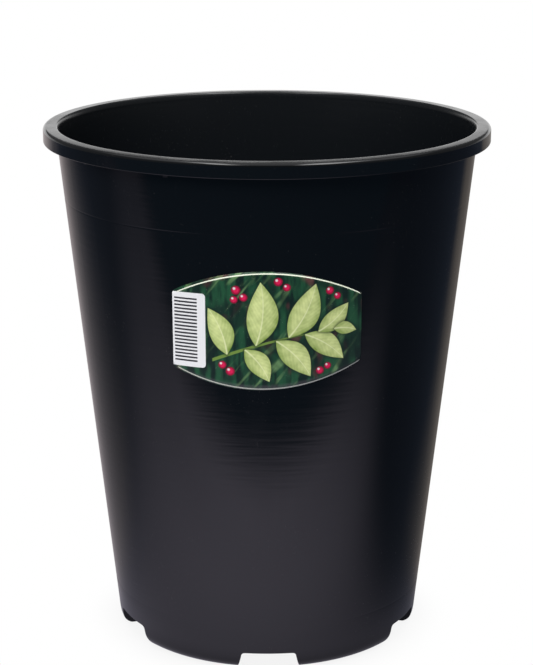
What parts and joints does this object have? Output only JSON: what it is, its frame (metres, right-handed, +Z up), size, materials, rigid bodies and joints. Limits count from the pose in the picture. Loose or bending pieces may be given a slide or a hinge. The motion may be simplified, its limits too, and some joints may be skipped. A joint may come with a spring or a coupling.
{
  "type": "plastic nursery pot",
  "caption": "Deep round tapered plant pot in thin black plastic, with a turned-down rim, raised drainage channels under the base and a film label on its front.",
  "frame": {"origin": "middle of the base, on the plane of the feet", "axes": "+Z up along the pot's own axis, -Y towards the label, +X to the right of a person who faces the label"},
  "size_m": [0.19, 0.19, 0.223],
  "materials": {
    "pot_plastic": "satin black moulded polypropylene",
    "label_film": "thin adhesive film printed with plain leaf shapes"
  },
  "bodies": {
    "root": {"pot": "pot_plastic", "label": "label_film"}
  },
  "joints": []
}
